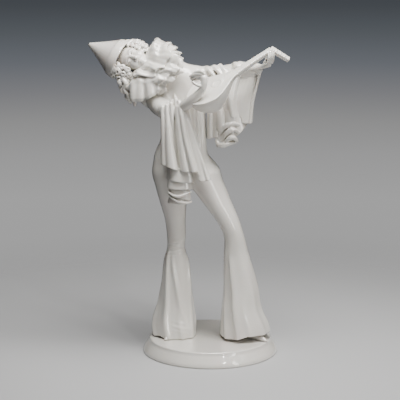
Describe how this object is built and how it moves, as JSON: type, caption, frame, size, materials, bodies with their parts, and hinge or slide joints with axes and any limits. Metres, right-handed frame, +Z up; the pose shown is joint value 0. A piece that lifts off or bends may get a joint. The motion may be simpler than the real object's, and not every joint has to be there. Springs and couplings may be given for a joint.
{
  "type": "porcelain figurine",
  "caption": "Glazed white porcelain figurine of a lute player in a cone hat, ruff, wide sleeves and flared trousers, leaning back on a round plinth.",
  "frame": {"origin": "middle of the plinth's underside, which rests on the table or shelf", "axes": "+Z up, -Y towards the front of the figurine, +X towards the lute's peg head"},
  "size_m": [0.2025, 0.136, 0.317],
  "materials": {
    "white_glaze": "gloss"
  },
  "bodies": {
    "root": {"back_curls": "white_glaze", "bodice": "white_glaze", "cone_hat": "white_glaze", "hanging_curls": "white_glaze", "head": "white_glaze", "hips": "white_glaze", "left_hand": "white_glaze", "left_shoe": "white_glaze", "left_sleeve_cascade": "white_glaze", "left_sleeve_drape": "white_glaze", "left_sleeve_inner_fall": "white_glaze", "left_temple_curls": "white_glaze", "left_trouser_leg": "white_glaze", "left_upper_sleeve": "white_glaze", "lute_bowl": "white_glaze", "lute_bridge": "white_glaze", "lute_neck": "white_glaze", "lute_pegbox": "white_glaze", "lute_soundboard": "white_glaze", "plinth": "white_glaze", "right_forearm": "white_glaze", "right_hand": "white_glaze", "right_shoe": "white_glaze", "right_sleeve_cascade": "white_glaze", "right_sleeve_drape": "white_glaze", "right_temple_curls": "white_glaze", "right_trouser_leg": "white_glaze", "right_upper_sleeve": "white_glaze", "ruff_lower": "white_glaze", "ruff_upper": "white_glaze"}
  },
  "joints": []
}
